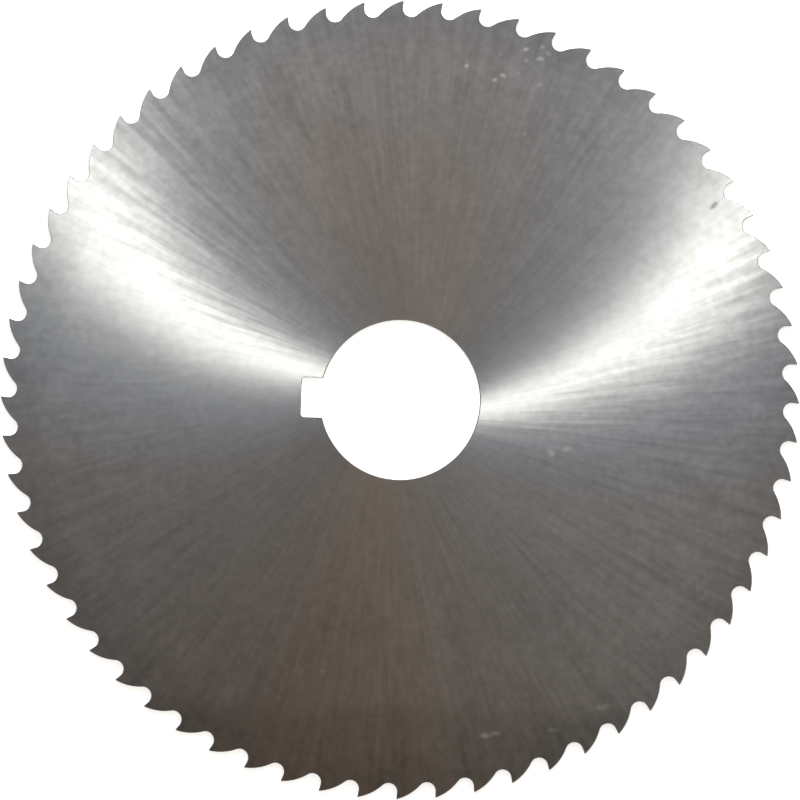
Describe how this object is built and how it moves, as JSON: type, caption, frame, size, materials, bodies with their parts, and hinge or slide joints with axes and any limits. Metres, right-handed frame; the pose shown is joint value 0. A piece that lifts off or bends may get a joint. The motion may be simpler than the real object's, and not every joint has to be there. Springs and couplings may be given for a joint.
{
  "type": "slitting saw",
  "caption": "Round steel slitting saw blade with curved-back teeth round the rim, a plain arbor bore and one keyway, ground hollow on both sides, for cutting narrow slots.",
  "frame": {"origin": "on the bore axis, in the plane of the lower face of the rim that the blade rests on", "axes": "+Z along the bore axis, up out of the face that the picture shows; the keyway points to -X; seen from +Z the teeth cut clockwise"},
  "size_m": [0.16, 0.16, 0.002],
  "materials": {
    "ground_steel": "bare high-speed steel, ground across on both sides in long near-radial arcs"
  },
  "bodies": {
    "root": {"saw_blade": "ground_steel"}
  },
  "joints": []
}
